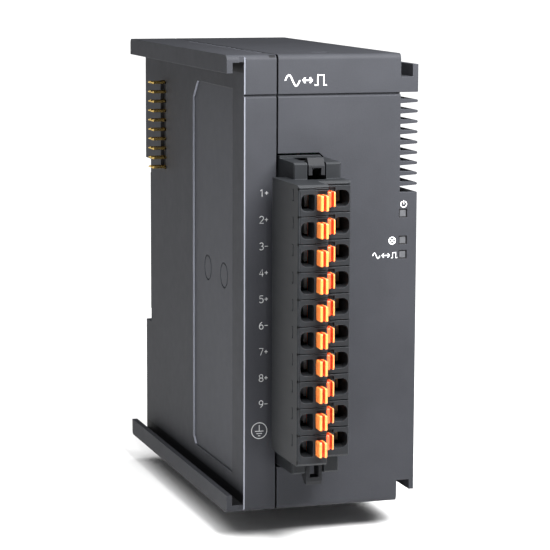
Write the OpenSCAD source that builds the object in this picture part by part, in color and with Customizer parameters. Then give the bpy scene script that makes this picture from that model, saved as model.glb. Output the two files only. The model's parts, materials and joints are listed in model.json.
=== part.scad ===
// Input and output module of a rail-mounted controller, with a removable
// two-column terminal plug. Millimetres, +Z up, front towards -Y.
// The origin is on the rail's seat face, at the middle of the module.

/* [Housing] */
// Width of the housing, which is the pitch of modules on the rail
body_w = 35; // [35:1:45]
// Height of the housing
body_h = 88; // [88:0.5:92]
// Depth of the housing without the terminal plug
body_d = 75; // [75:1:90]
// Wall thickness of both shells
wall = 1.8; // [1.6:0.1:2]
// Distance from the left face to the seam between the shells
seam_x = 6.55; // [6.5:0.05:6.6]
// Radius of the housing's side-view corners
corner_r = 1; // [0.6:0.1:1.5]
// Depth of the plain label recess in the left face
label_deep = 0.4; // [0.2:0.1:0.6]

/* [Rail] */
// Height of the rail recess: a 35 mm rail with 1 mm of play
rail_gap = 36; // [35.6:0.2:36.4]
// Depth of the rail recess
rail_deep = 4; // [4:0.1:4.2]
// How far the latch's pull tab hangs below the housing
tab_drop = 5.3; // [4.5:0.1:6]

/* [Interlock] */
// Reach of the left hooks beyond the left face
hook_reach = 3.4; // [3.2:0.1:3.4]
// Height of a hook with its lip
hook_h = 3.4; // [3.2:0.1:3.6]

/* [Side vent] */
// Number of fins at the front right corner
fin_count = 9; // [5:1:9]
// Distance from fin to fin
fin_pitch = 2; // [1.8:0.1:2]
// Depth of the vent from the front face
vent_deep = 24; // [16:1:24]

/* [Terminals] */
// Terminals in each column
rows = 10; // [10:1:10]
// Distance from terminal to terminal
pitch = 5.08; // [5:0.04:5.08]
// How far the left column stands in front of the housing
left_front = 20; // [19:0.5:22]
// How far the right column stands in front of the housing
right_front = 14; // [13.5:0.5:14.5]
// Height of a wire hole
hole_h = 3.15; // [2.8:0.05:3.2]
// Width of a wire hole
hole_w = 2.65; // [2.2:0.05:2.65]

/* [Pushers] */
// How far a pusher stands out of the plug
pusher_out = 2.2; // [1.8:0.1:2.6]
// Width of a pusher
pusher_w = 1.56; // [1.5:0.02:1.7]
// Height of a pusher
pusher_h = 2.8; // [2.6:0.05:3]
// Play around a pusher
pusher_play = 0.08; // [0.05:0.01:0.1]

/* [Bus connector] */
// Pins in each of the two rows
bus_pins_n = 10; // [10:1:10]
// Distance from pin to pin
bus_pitch = 2; // [2:0.01:2.01]
// How far the pins stand out of the left face
bus_out = 3; // [2.4:0.1:3.2]

/* [Hidden] */
$fn = 48;
seat_y = body_d - rail_deep;
rail_lo = (body_h - rail_gap) / 2;
rail_hi = rail_lo + rail_gap;
notch_x = body_w - 3.55;          // left side of the interlock channels
rim_x = notch_x - 1.5;            // inside of the wall beside them
top_ch = body_h - 4.5;            // floor of the top channel
top_rail = body_h - 2.1;          // top of the outer plate beside it
low_ch = 4.2;                     // ceiling of the bottom channel
low_rail = 2.2;                   // lower edge of the outer plate beside it
groove_z = body_h - 7.65;         // groove below the title strip
seam_w = 0.2;                     // half the width of the groove at the seam
seam_deep = 0.7;
vent_hi = body_h - 7.5;
vent_lo = vent_hi - fin_count * fin_pitch - 1.3;
led_x = body_w - 2.8;
led_z = [57.1, 51.85, 49.05];
led_w = 1.75;
bus_y = 59.75;
bus_z = body_h - 17.65;
bus_rows = [-1.25, 1.25];
open_x1 = 16.4;
open_z0 = 8.4;
open_z1 = 69.3;
plug_z = 39.2;                    // middle of the terminal plug
plug_half = 26.1;                 // half the height of its stepped body
step_x = 10.12;                   // where the left column ends
plug_x0 = 4.28;
plug_x1 = 16.5;
plug_back = -4.4;                 // rear face of the stepped body
hole_x = [6.15, 14.9];            // wire holes of the two columns
push_x = [8.7, 12.02];            // pushers of the two columns
push_dz = 0.03;                   // how far a pusher sits above its terminal's middle
driver_dx = [0, 0.17];            // driver groove's offset in the pushers of each column
driver_w = 0.27;                  // half the width of the driver groove
driver_deep = 0.9;
pin_x = [9.6, 13.5];              // contact pins of the two columns
front_y = [-left_front, -right_front];
chamber_x = [[4.75, 9.85], [10.75, 15.95]];
bar_x = [4.95, 15.25];
lever_x0 = 9.72;
lever_x1 = 12.88;
lever_gap = [9.42, 13.18];        // slot that the levers move in
prong_w = 0.68;                   // width of a lever's prongs
lever_y = -1.8;                   // lever pivot
lever_dz = 27.4;                  // pivot's height above the plug's middle
board_y0 = 22.5;                  // side boards, front and rear edges
board_y1 = 68.6;
left_board_x = 8.4;
right_board_x = 24;
board_t = 1.6;
front_board_y = 18.4;
screw_yz = [[27, 12], [65.8, 12], [27, 75.4], [65.8, 75.4]];
latch_x = 17.5;                   // middle of the rail latch
spring_z0 = 9.05;                 // latch spring, from its ledge to the latch
spring_z1 = 17.95;
slot_n = 15;                      // air slots in the top wall
slot_pitch = 3.5;

shell_grey = [0.34, 0.35, 0.37];
plug_black = [0.15, 0.15, 0.16];
latch_grey = [0.3, 0.31, 0.33];
orange = [0.95, 0.45, 0.12];
gold = [0.85, 0.65, 0.25];
steel = [0.75, 0.76, 0.78];
copper = [0.8, 0.5, 0.3];
board_green = [0.05, 0.35, 0.18];

// ---- helpers: everything is drawn from the housing's front lower left corner ----

module placed() { translate([-body_w / 2, -seat_y, -body_h / 2]) children(); }
module along_x(x0, x1) { translate([x0, 0, 0]) rotate([90, 0, 90]) linear_extrude(x1 - x0) children(); }
module along_y(y0, y1) { translate([0, y1, 0]) rotate([90, 0, 0]) linear_extrude(y1 - y0) children(); }
module along_z(z0, z1) { translate([0, 0, z0]) linear_extrude(z1 - z0) children(); }
module box(a, b) { translate(a) cube(b - a); }
module box2(a, b) { translate(a) square(b - a); }

// rectangle from a to b with round corners
module round2(a, b, r) {
  box2([a.x + r, a.y], [b.x - r, b.y]);
  box2([a.x, a.y + r], [b.x, b.y - r]);
  for (x = [a.x + r, b.x - r], y = [a.y + r, b.y - r]) translate([x, y]) circle(r);
}

// rectangle from a to b with cut corners
module cut2(a, b, c) {
  polygon([[a.x + c, a.y], [b.x - c, a.y], [b.x, a.y + c], [b.x, b.y - c],
           [b.x - c, b.y], [a.x + c, b.y], [a.x, b.y - c], [a.x, a.y + c]]);
}

// block from a to b with all edges chamfered by c
module cbox(a, b, c) {
  intersection() {
    along_x(a.x, b.x) cut2([a.y, a.z], [b.y, b.z], c);
    along_y(a.y, b.y) cut2([a.x, a.z], [b.x, b.z], c);
    along_z(a.z, b.z) cut2([a.x, a.y], [b.x, b.y], c);
  }
}

// side view of the housing, moved inwards by t
module side2(t) {
  difference() {
    round2([t, t], [body_d - t, body_h - t], max(corner_r - t, 0.3));
    box2([seat_y - t, rail_lo - t], [body_d + 5, rail_hi + t]);
  }
}

// relief that leaves the rail's seat as a raised land
module seat_relief() {
  box([-1, seat_y - 0.3, rail_lo], [body_w + 1, seat_y + 1, rail_lo + 3]);
  box([-1, seat_y - 0.3, rail_hi - 3], [body_w + 1, seat_y + 1, rail_hi]);
}

// half of the groove that runs round the housing at the seam
module seam_cut(x0, x1) {
  difference() {
    along_x(x0, x1) side2(-1);
    along_x(x0 - 1, x1 + 1) side2(seam_deep);
  }
}

// groove below the title strip, with an eased lower edge
module title_cut() {
  along_x(-1, body_w + 1) polygon([
    [-1, groove_z + 0.22], [0.6, groove_z + 0.22], [0.6, groove_z - 0.2],
    [0.22, groove_z - 0.2], [0, groove_z - 0.42], [-1, groove_z - 0.42]]);
}

function row_z(i) = plug_z + ((rows - 1) / 2 - i) * pitch;
function flip(z, up) = up ? plug_z + z : plug_z - z;

// block between heights z0 and z1 from the plug's middle, upwards or downwards
module end_box(x0, y0, z0, x1, y1, z1, up) {
  box([x0, y0, min(flip(z0, up), flip(z1, up))], [x1, y1, max(flip(z0, up), flip(z1, up))]);
}

// a cylinder along X through this point of the side view
module bar_x_at(x0, x1, y, z, r) { translate([x0, y, z]) rotate([0, 90, 0]) cylinder(r = r, h = x1 - x0); }

// ---- housing ----

module left_hook(z_out, dir) {
  intersection() {
    along_y(0, body_d) polygon([
      [0.5, z_out], [-hook_reach, z_out], [-hook_reach, z_out + dir * hook_h],
      [-hook_reach + 1.1, z_out + dir * hook_h], [-hook_reach + 1.1, z_out + dir * 1.43],
      [0.5, z_out + dir * 1.43]]);
    along_x(-hook_reach - 1, 1) round2([0, 0], [body_d, body_h], corner_r);
  }
}

module left_shell() {
  color(shell_grey) placed() difference() {
    union() {
      difference() {
        along_x(0, seam_x) side2(0);
        along_x(wall, seam_x + 1) side2(wall);
      }
      left_hook(body_h, -1);
      left_hook(0, 1);
      for (p = screw_yz) bar_x_at(wall - 0.5, left_board_x, p.x, p.y, 2.3);
      // tongues that reach into the right shell
      for (y = [12, 30, 48]) {
        box([seam_x - 3, y, body_h - wall - 1], [seam_x + 2.4, y + 6, body_h - wall - 0.05]);
        box([seam_x - 3, y, wall + 0.05], [seam_x + 2.4, y + 6, wall + 1]);
        box([seam_x - 3, y, body_h - wall - 1], [seam_x - 0.2, y + 6, body_h - wall + 0.5]);
        box([seam_x - 3, y, wall - 0.5], [seam_x - 0.2, y + 6, wall + 1]);
      }
    }
    // plain label recess with cut rear corners
    along_x(-1, label_deep) polygon([
      [7.8, 6.13], [34.7, 6.13], [36.3, 7.6],
      [36.3, body_h - 10.2], [32.9, body_h - 6.74], [7.8, body_h - 6.74]]);
    // round moulding marks
    for (y = [14.85, 26.4]) difference() {
      bar_x_at(label_deep - 0.1, label_deep + 0.2, y, body_h / 2 + 0.15, 2.6);
      bar_x_at(-1, 2, y, body_h / 2 + 0.15, 2.25);
    }
    // window of the bus pins
    along_x(-1, wall + 1) round2([bus_y - 2.35, bus_z - 9.45], [bus_y + 2.35, bus_z + 9.45], 0.4);
    // vent slots along the seam in the top wall
    for (i = [0:slot_n - 1])
      box([4.95, 6.4 + i * slot_pitch, body_h - wall - 1], [6.15, 8.7 + i * slot_pitch, body_h + 1]);
    for (p = screw_yz) bar_x_at(wall + 1, left_board_x + 1, p.x, p.y, 1.02);
    title_cut();
    seat_relief();
    seam_cut(seam_x - seam_w, seam_x + 1);
    // front left edge
    along_z(-1, body_h + 1) polygon([[-1, -1], [0.35, -1], [0.35, 0], [0, 0.35], [-1, 0.35]]);
  }
}

module fin(z) {
  tip = 0.28;
  along_y(0, vent_deep + 0.2) union() {
    polygon([
      [notch_x - 0.4, z - 0.48], [body_w - tip, z - tip],
      [body_w - tip, z + tip], [notch_x - 0.4, z + 0.48]]);
    translate([body_w - tip, z]) circle(tip);
  }
}

module right_shell() {
  color(shell_grey) placed() union() {
    difference() {
      union() {
        difference() {
          along_x(seam_x, body_w) side2(0);
          // inside, with solid left around the channels, the vent and the rail latch
          difference() {
            along_x(seam_x - 1, body_w - wall) side2(wall);
            box([rim_x, -1, top_ch - 1.5], [body_w, body_d + 1, body_h]);
            box([rim_x, -1, 0], [body_w, body_d + 1, low_ch + 1.5]);
            box([rim_x, -1, vent_lo - 1.4], [body_w, vent_deep + 1.5, vent_hi + 1.4]);
            box([latch_x - 6.1, seat_y - 1.9, 0], [latch_x + 6.1, body_d + 1, rail_lo]);
          }
        }
        // fixed hook over the rail's upper edge
        along_x(9, 26) polygon([
          [seat_y + 1.4, rail_hi + 0.5], [body_d, rail_hi + 0.5], [body_d, rail_hi - 0.8],
          [body_d - 0.9, rail_hi - 1.8], [seat_y + 1.4, rail_hi - 1.8]]);
        for (p = screw_yz) bar_x_at(right_board_x + board_t, body_w - wall + 0.5, p.x, p.y, 2.3);
      }
      // interlock channels along both right edges
      box([notch_x, -1, top_rail], [body_w + 1, body_d + 1, body_h + 1]);
      box([notch_x, -1, top_ch], [body_w - 1.1, body_d + 1, body_h]);
      box([notch_x, -1, -1], [body_w + 1, body_d + 1, low_rail]);
      box([notch_x, -1, 0], [body_w - 0.9, body_d + 1, low_ch]);
      // vent corner and its air slots
      box([notch_x, -1, vent_lo], [body_w + 1, vent_deep, vent_hi]);
      for (i = [0:fin_count])
        box([rim_x - 1, 12, vent_hi - 1.1 - i * fin_pitch], [notch_x + 1, 22, vent_hi - 0.3 - i * fin_pitch]);
      // opening for the terminal plug
      along_y(-1, wall + 1) polygon([
        [0, open_z0], [open_x1 - 1.2, open_z0], [open_x1, open_z0 + 1.2],
        [open_x1, open_z1 - 1.4], [open_x1 - 1.4, open_z1], [0, open_z1]]);
      // windows of the status lights
      for (z = led_z)
        box([led_x - led_w / 2, -1, z - led_w / 2], [led_x + led_w / 2, wall + 1, z + led_w / 2]);
      // window of the bus socket
      along_x(body_w - wall - 1, body_w + 1)
        round2([bus_y - 2.75, bus_z - 9.85], [bus_y + 2.75, bus_z + 9.85], 0.4);
      // snap window in the top wall
      box([16, 7.1, body_h - wall - 1], [19.3, 8.3, body_h + 1]);
      // guide of the rail latch: a T-slot open at the bottom
      box([latch_x - 4.3, seat_y - 0.1, -1], [latch_x + 4.3, seat_y + 2.1, rail_lo + 1]);
      box([latch_x - 3.1, seat_y + 2, -1], [latch_x + 3.1, body_d + 1, rail_lo + 1]);
      // window of the ground spring
      box([25.7, seat_y - 3, body_h / 2 - 5.5], [29.3, seat_y + 1, body_h / 2 + 5.5]);
      for (p = screw_yz) bar_x_at(right_board_x, right_board_x + 7, p.x, p.y, 1.02);
      title_cut();
      seat_relief();
      seam_cut(seam_x - 1, seam_x + seam_w);
    }
    for (i = [0:fin_count - 1]) fin(vent_hi - 1.65 - i * fin_pitch);
    // ledge that carries the latch spring
    box([latch_x - 1.2, seat_y - 0.3, 7.5], [latch_x + 1.2, body_d - 0.6, 9]);
  }
}

// ---- rail latch ----

module rail_latch() {
  color(latch_grey) placed() difference() {
    union() {
      // sliding plate with its two side ribs
      box([latch_x - 4, seat_y + 0.2, -tab_drop], [latch_x + 4, seat_y + 1.8, rail_lo - 1.2]);
      box([latch_x - 2.8, seat_y + 1.7, -tab_drop], [latch_x + 2.8, body_d - 0.2, rail_lo - 1.2]);
      // nose behind the rail's lower edge
      along_x(latch_x - 2.8, latch_x + 2.8) polygon([
        [seat_y + 1.4, rail_lo - 1.3], [body_d - 0.2, rail_lo - 1.3], [body_d - 0.2, rail_lo + 0.2],
        [seat_y + 1.9, rail_lo + 2.2], [seat_y + 1.4, rail_lo + 2.2]]);
      // pull tab
      cbox([latch_x - 4, seat_y + 0.2, -tab_drop], [latch_x + 4, body_d - 0.2, -0.4], 0.4);
    }
    box([latch_x - 2, seat_y - 1, -tab_drop + 1.2], [latch_x + 2, body_d + 1, -tab_drop + 2.8]);
    box([latch_x - 1.55, seat_y - 1, 7.3], [latch_x + 1.55, body_d + 1, 18]);
  }
}

turns = 5;
steps = 14;
sides = 6;
function coil_point(k, a) =
  let (t = k / (turns * steps), b = 360 * k / steps, r = 1.05 + 0.2 * cos(a))
  [r * cos(b), r * sin(b), 0.22 + t * (spring_z1 - spring_z0 - 0.44) + 0.2 * sin(a)];

module rail_latch_spring() {
  last = turns * steps;
  color(steel) placed() translate([latch_x, seat_y + 1.95, spring_z0]) polyhedron(
    points = [for (k = [0:last], j = [0:sides - 1]) coil_point(k, j * 360 / sides)],
    faces = concat(
      [for (k = [0:last - 1], j = [0:sides - 1])
        [k * sides + j, (k + 1) * sides + (j + 1) % sides, k * sides + (j + 1) % sides]],
      [for (k = [0:last - 1], j = [0:sides - 1])
        [k * sides + j, (k + 1) * sides + j, (k + 1) * sides + (j + 1) % sides]],
      [[for (j = [0:sides - 1]) j]],
      [[for (j = [sides - 1:-1:0]) last * sides + j]]));
}

module ground_spring() {
  m = body_h / 2;
  t = 0.25;
  y = seat_y - wall - t;
  color(steel) placed() along_x(26, 29) polygon([
    [y, m - 10], [y + t, m - 10], [y + t, m - 4.8], [y + 2.55, m - 1],
    [y + 2.55, m + 1], [y + t, m + 4.8], [y + t, m + 10],
    [y, m + 10], [y, m + 4.6], [y + 2.3, m + 0.9], [y + 2.3, m - 0.9], [y, m - 4.6]]);
}

// ---- circuit boards and what stands on them ----

module side_board(x) {
  difference() {
    box([x, board_y0, 7], [x + board_t, board_y1, 80]);
    for (p = screw_yz) bar_x_at(x - 1, x + board_t + 1, p.x, p.y, 1.25);
  }
}

module bus_holes(x0, x1, w) {
  for (dy = bus_rows, i = [0:bus_pins_n - 1])
    box([x0, bus_y + dy - w / 2, bus_z + (i - (bus_pins_n - 1) / 2) * bus_pitch - w / 2],
        [x1, bus_y + dy + w / 2, bus_z + (i - (bus_pins_n - 1) / 2) * bus_pitch + w / 2]);
}

module power_board() {
  color(board_green) placed() difference() {
    side_board(left_board_x);
    bus_holes(left_board_x - 1, left_board_x + board_t + 1, 0.8);
  }
}

module main_board() { color(board_green) placed() side_board(right_board_x); }

module front_board() {
  color(board_green) placed() difference() {
    union() {
      box([4, front_board_y, 7], [29.4, front_board_y + board_t, 79]);
      box([29, front_board_y, 40], [body_w - wall - 0.3, front_board_y + board_t, 58.8]);
    }
    for (x = pin_x, i = [0:rows - 1]) translate([x, front_board_y - 1, row_z(i)]) rotate([-90, 0, 0])
      cylinder(r = 0.75, h = board_t + 2);
  }
}

module board_connectors() {
  x = left_board_x + board_t;
  color(plug_black) placed() {
    box([x + 0.2, front_board_y + board_t, 50], [x + 2.9, 21.6, 66]);
    box([x, 21.4, 50], [x + 2.9, 26, 66]);
    box([right_board_x - 3, front_board_y + board_t, 20], [right_board_x, 26, 45]);
    box([x, 62.5, 38], [right_board_x, 66.5, 54]);
  }
}

module board_screws() {
  color(steel) placed() for (p = screw_yz) {
    bar_x_at(3.6, left_board_x + board_t, p.x, p.y, 1);
    translate([left_board_x + board_t, p.x, p.y]) rotate([0, 90, 0]) screw_head();
    bar_x_at(right_board_x, right_board_x + 6.5, p.x, p.y, 1);
    translate([right_board_x, p.x, p.y]) rotate([0, -90, 0]) screw_head();
  }
}

module screw_head() {
  difference() {
    cylinder(r = 2, h = 1.4);
    for (a = [0, 90]) rotate([0, 0, a]) box([-1.2, -0.25, 0.7], [1.2, 0.25, 2]);
  }
}

module power_converter() {
  color(plug_black) placed()
    cbox([left_board_x + board_t, 30, 14], [left_board_x + board_t + 9, 50, 34], 0.6);
}

module capacitors() {
  x = left_board_x + board_t;
  color([0.2, 0.22, 0.3]) placed() for (z = [20, 31]) translate([x, 58, z]) rotate([0, 90, 0]) {
    cylinder(r = 4.2, h = 0.8);
    cylinder(r = 3.9, h = 1.4);
    translate([0, 0, 1.3]) cylinder(r = 4.2, h = 9.5);
  }
}

module choke() {
  color(copper) placed() translate([left_board_x + board_t + 2.2, 40, 44]) rotate([0, 90, 0])
    rotate_extrude() translate([4.6, 0]) circle(r = 2.2);
}

module isolators() {
  color(plug_black) placed() for (i = [0:3])
    cbox([left_board_x + board_t, 30, 54.5 + i * 6], [left_board_x + board_t + 3.2, 36.5, 59 + i * 6], 0.4);
}

module processor_chips() {
  color(plug_black) placed() {
    cbox([right_board_x - 1.4, 34, 48], [right_board_x, 48, 62], 0.2);
    cbox([right_board_x - 1.2, 34, 68], [right_board_x, 43, 77], 0.2);
    cbox([right_board_x - 1.2, 50, 68], [right_board_x, 56, 76], 0.2);
  }
}

// ---- bus connectors ----

module bus_pin_carrier() {
  color(plug_black) placed() difference() {
    union() {
      box([wall, bus_y - 3.2, bus_z - 10.3], [left_board_x, bus_y + 3.2, bus_z + 10.3]);
      box([0.7, bus_y - 2.1, bus_z - 9.2], [wall + 1, bus_y + 2.1, bus_z + 9.2]);
    }
    bus_holes(0, left_board_x + 1, 0.5);
  }
}

module pin_outline() {
  x = left_board_x + board_t + 1;
  polygon([
    [-bus_out, -0.1], [-bus_out + 0.5, -0.25], [x, -0.25],
    [x, 0.25], [-bus_out + 0.5, 0.25], [-bus_out, 0.1]]);
}

module bus_pins() {
  color(gold) placed() for (dy = bus_rows, i = [0:bus_pins_n - 1])
    translate([0, bus_y + dy, bus_z + (i - (bus_pins_n - 1) / 2) * bus_pitch]) intersection() {
      along_y(-0.25, 0.25) pin_outline();
      along_z(-0.25, 0.25) pin_outline();
    }
}

module bus_socket() {
  color(plug_black) placed() difference() {
    union() {
      box([right_board_x + board_t, bus_y - 3.5, bus_z - 10.6], [body_w - wall, bus_y + 3.5, bus_z + 10.6]);
      box([body_w - wall - 1, bus_y - 2.5, bus_z - 9.6], [body_w - 0.4, bus_y + 2.5, bus_z + 9.6]);
    }
    bus_holes(body_w - 1.2, body_w + 1, 0.8);
    bus_holes(right_board_x + board_t + 0.8, body_w - 1.1, 1.3);
  }
}

module bus_socket_contacts() {
  color(gold) placed() for (dy = bus_rows, i = [0:bus_pins_n - 1])
    translate([0, bus_y + dy, bus_z + (i - (bus_pins_n - 1) / 2) * bus_pitch]) {
      for (s = [-0.5, 0.3]) box([right_board_x + board_t + 1.2, -0.4, s], [body_w - 1.6, 0.4, s + 0.2]);
      box([right_board_x + board_t + 0.8, -0.4, -0.5], [right_board_x + board_t + 1.3, 0.4, 0.5]);
    }
}

// ---- status lights ----

module light_guide() {
  color([0.75, 0.78, 0.8, 0.8]) placed() {
    for (z = led_z) box([led_x - 0.62, 0.2, z - 0.62], [led_x + 0.62, 17.2, z + 0.62]);
    box([led_x - 0.5, 8, led_z[2] - 0.6], [led_x + 0.5, 10, led_z[0] + 0.6]);
  }
}

module status_leds() {
  color([0.9, 0.9, 0.8]) placed() for (z = led_z)
    cbox([led_x - 0.7, front_board_y - 0.9, z - 0.6], [led_x + 0.7, front_board_y, z + 0.6], 0.15);
}

// ---- terminal header, fixed in the housing ----

module terminal_header() {
  z0 = plug_z - 26.3;
  z1 = plug_z + 26.3;
  color(plug_black) placed() difference() {
    union() {
      box([7, 3, z0], [16.1, front_board_y, z1]);
      // ends that the plug's latches run over
      for (up = [true, false]) along_x(10, 12.6) polygon([
        [6.6, flip(26, up)], [6.6, flip(27.2, up)], [7, flip(27.6, up)],
        [8.1, flip(27.6, up)], [8.1, flip(26, up)]]);
    }
    box([7.7, 2, plug_z - 25.6], [15.4, 13, plug_z + 25.6]);
    for (x = pin_x, i = [0:rows - 1])
      box([x - 0.5, 12, row_z(i) - 0.5], [x + 0.5, front_board_y + 1, row_z(i) + 0.5]);
  }
}

module header_pins() {
  color(gold) placed() for (x = pin_x, i = [0:rows - 1]) translate([x, 0, row_z(i)]) {
    cbox([-0.5, 4.6, -0.5], [0.5, front_board_y, 0.5], 0.12);
    translate([0, front_board_y - 0.2, 0]) rotate([-90, 0, 0]) cylinder(r = 0.49, h = board_t + 1.4);
  }
}

// ---- removable terminal plug ----

// mouth of a wire hole, rounder on the outer side and narrowing towards the clamp
module wire_mouth(c, z) {
  x = hole_x[c];
  y = front_y[c];
  b = 0.3;
  w = hole_w / 2;
  h = hole_h / 2;
  intersection() {
    along_z(z - h - 0.5, z + h + 0.5) polygon([
      [x - w, y - 1], [x - w, y + 0.4], [x - w + b, y + 3.2],
      [x + w - b, y + 3.2], [x + w, y + 0.4], [x + w, y - 1]]);
    along_x(x - w - 0.5, x + w + 0.5) polygon([
      [y - 1, z - h], [y + 0.4, z - h], [y + 3.2, z - h + b],
      [y + 3.2, z + h - b], [y + 0.4, z + h], [y - 1, z + h]]);
    along_y(y - 1, y + 4) intersection() {
      round2([x - w, z - h], [x + w, z + h], 0.45, $fn = 16);
      round2([x - w - c * 4, z - h], [x + w + (1 - c) * 4, z + h], 1.15, $fn = 24);
    }
  }
}

// one column of the stepped body, with eased front edges
module column(x0, x1, front, ease0, ease1) {
  z0 = plug_z - plug_half;
  z1 = plug_z + plug_half;
  c = 0.4;
  intersection() {
    along_z(z0, z1) polygon([
      [x0, plug_back], [x0, -front + ease0], [x0 + ease0, -front],
      [x1 - ease1, -front], [x1, -front + ease1], [x1, plug_back]]);
    along_x(x0, x1) polygon([
      [-front, z0 + c], [-front + c, z0], [0, z0], [0, z1], [-front + c, z1], [-front, z1 - c]]);
  }
}

module latch_posts(up) {
  post_top = up ? 29.15 : 30.1;
  flange_top = up ? 29.7 : 30.3;
  // rear flange in the opening and the two posts in front of it
  difference() {
    union() {
      along_y(-0.6, 1.6) polygon([
        [6.85, flip(25, up)], [6.85, flip(flange_top, up)], [14.9, flip(flange_top, up)],
        [16.1, flip(flange_top - 1.2, up)], [16.1, flip(25, up)]]);
      intersection() {
        along_x(6.85, 16.1) polygon([
          [-9.5, flip(25, up)], [-9.5, flip(post_top - 0.3, up)], [-9.2, flip(post_top, up)],
          [0, flip(post_top + 0.1, up)], [0, flip(25, up)]]);
        along_z(0, 90) cut2([6.85, -9.5], [16.1, 2], 0.25);
      }
    }
    // slot for the lever, closed above it by the flange
    end_box(lever_gap[0], -11, 25.2, lever_gap[1], -0.6, 31, up);
    end_box(lever_gap[0], -1, 25.2, lever_gap[1], 3, 29.2, up);
    bar_x_at(8, 15, lever_y, flip(lever_dz, up), 0.5);
  }
}

// grooves that part the terminals of both columns at height z
module cell_grooves(z) {
  box([plug_x0 - 1, -left_front - 1, z - 0.09], [7.7, -left_front + 0.35, z + 0.09]);
  for (dz = [-0.17, 0.17])
    box([7.6, -left_front - 1, z + dz - 0.08], [step_x + 1, -left_front + 0.35, z + dz + 0.08]);
  box([step_x - 0.2, -right_front - 1, z - 0.13], [plug_x1 + 1, -right_front + 0.35, z + 0.13]);
}

module plug_body() {
  z0 = plug_z - plug_half;
  z1 = plug_z + plug_half;
  color(plug_black) placed() difference() {
    union() {
      column(plug_x0, step_x, left_front, 0.25, 0.12);
      column(step_x - 1, plug_x1, right_front, 0.12, 0.12);
      latch_posts(true);
      latch_posts(false);
    }
    for (up = [true, false]) end_box(lever_gap[0], -10.4, 25.2, lever_gap[1], -0.6, 31, up);
    for (c = [0, 1], i = [0:rows - 1]) {
      z = row_z(i);
      y = front_y[c];
      zp = z + push_dz;
      w = pusher_w / 2 + pusher_play;
      h = pusher_h / 2 + pusher_play;
      wire_mouth(c, z);
      // well of the pusher, with a shallow ledge above it
      box([push_x[c] - w, y - 1, zp - h], [push_x[c] + w, y + 3.1, zp + h]);
      box([push_x[c] - 0.62, y - 1, z + 1.3], [push_x[c] + w + 0.6, y + 0.45, z + 2.08]);
      // chamber of the clamp
      box([chamber_x[c][0], y + 3, z - 2.05], [chamber_x[c][1], plug_back + 1, z + 2.05]);
    }
    for (i = [0:rows - 1]) {
      // room behind the web for the left column's contacts
      box([8.5, plug_back - 1.2, row_z(i) - 1.2], [chamber_x[1][0], plug_back + 1, row_z(i) + 1.2]);
      cell_grooves(row_z(i) + pitch / 2);
      // bracket-shaped slot in the left side
      box([plug_x0 - 1, -17.3, row_z(i) + 0.1], [plug_x0 + 0.3, -17, row_z(i) + 2.3]);
      for (dz = [0.1, 2.12])
        box([plug_x0 - 1, -17.3, row_z(i) + dz], [plug_x0 + 0.3, -16.6, row_z(i) + dz + 0.18]);
    }
    // shadow line beside the front left edge
    box([plug_x0 + 0.34, -left_front - 1, z0 + 0.9], [plug_x0 + 0.46, -left_front + 0.2, z1 - 0.95]);
  }
}

module plug_contact_carrier() {
  color(plug_black) placed() difference() {
    union() {
      box([4.95, plug_back, plug_z - 24.95], [15.8, plug_back + 1.3, plug_z + 24.95]);
      box([7.9, plug_back, plug_z - 24.95], [15.2, 12.6, plug_z + 24.95]);
    }
    for (x = pin_x, i = [0:rows - 1])
      box([x - 1, plug_back - 1, row_z(i) - 1.2], [x + 1, 14, row_z(i) + 1.2]);
  }
}

// strip that carries the current from the clamp to the fork round a header pin
module current_bar(c, z) {
  x = bar_x[c];
  p = pin_x[c];
  along_z(z - 1, z + 1) union() {
    box2([x, front_y[c] + 4.2], [x + 0.5, -4.9]);
    box2([min(x, p - 0.85), -5.4], [max(x + 0.5, p + 0.85), -4.9]);
    for (s = [-1, 1]) box2([p + s * 0.7 - 0.15, -5], [p + s * 0.7 + 0.15, 10.8]);
  }
}

module current_bars() {
  color(copper) placed() for (c = [0, 1], i = [0:rows - 1]) current_bar(c, row_z(i));
}

// bent leaf behind a pusher, pressing the wire against the current bar
module clamp_spring(c, z) {
  y = front_y[c];
  s = c == 0 ? 1 : -1;
  x0 = c == 0 ? 9.75 : 10.85;
  along_z(z - 1.3, z + 1.3) polygon([
    [x0, y + 5.15], [x0, y + 8], [x0 - s * 0.4, y + 8.35], [x0 - s * 3.9, y + 6.6], [x0 - s * 3.9, y + 6.25],
    [x0 - s * 0.5, y + 7.9], [x0 - s * 0.3, y + 7.8], [x0 - s * 0.3, y + 5.5],
    [x0 - s * 2.6, y + 5.4], [x0 - s * 2.6, y + 5.15]]);
}

module clamp_springs() {
  color(steel) placed() for (c = [0, 1], i = [0:rows - 1]) clamp_spring(c, row_z(i));
}

module lever_pins() {
  color(steel) placed() for (up = [true, false]) bar_x_at(8, 15, lever_y, flip(lever_dz, up), 0.5);
}

// bar, bearing and nose that both release levers have
module lever_bar(y0, up) {
  end_box(lever_x0, y0, 28, lever_x1, 9.5, 28.7, up);
  along_x(lever_x0 + 0.1, lever_x1 - 0.1) union() {
    translate([lever_y, flip(lever_dz, up)]) circle(1.15);
    polygon([
      [lever_y - 1.15, flip(lever_dz, up)], [lever_y + 1.15, flip(lever_dz, up)],
      [lever_y + 1.15, flip(28.2, up)], [lever_y - 1.15, flip(28.2, up)]]);
  }
  // nose behind the end of the header
  along_x(lever_x0 + 0.3, lever_x1 - 0.3) polygon([
    [8.4, flip(28.2, up)], [8.4, flip(27.75, up)], [8.6, flip(27.65, up)],
    [9.5, flip(28.02, up)], [9.5, flip(28.2, up)]]);
}

module lever_bore(up) { bar_x_at(lever_x0 - 1, lever_x1 + 1, lever_y, flip(lever_dz, up), 0.55); }

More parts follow.
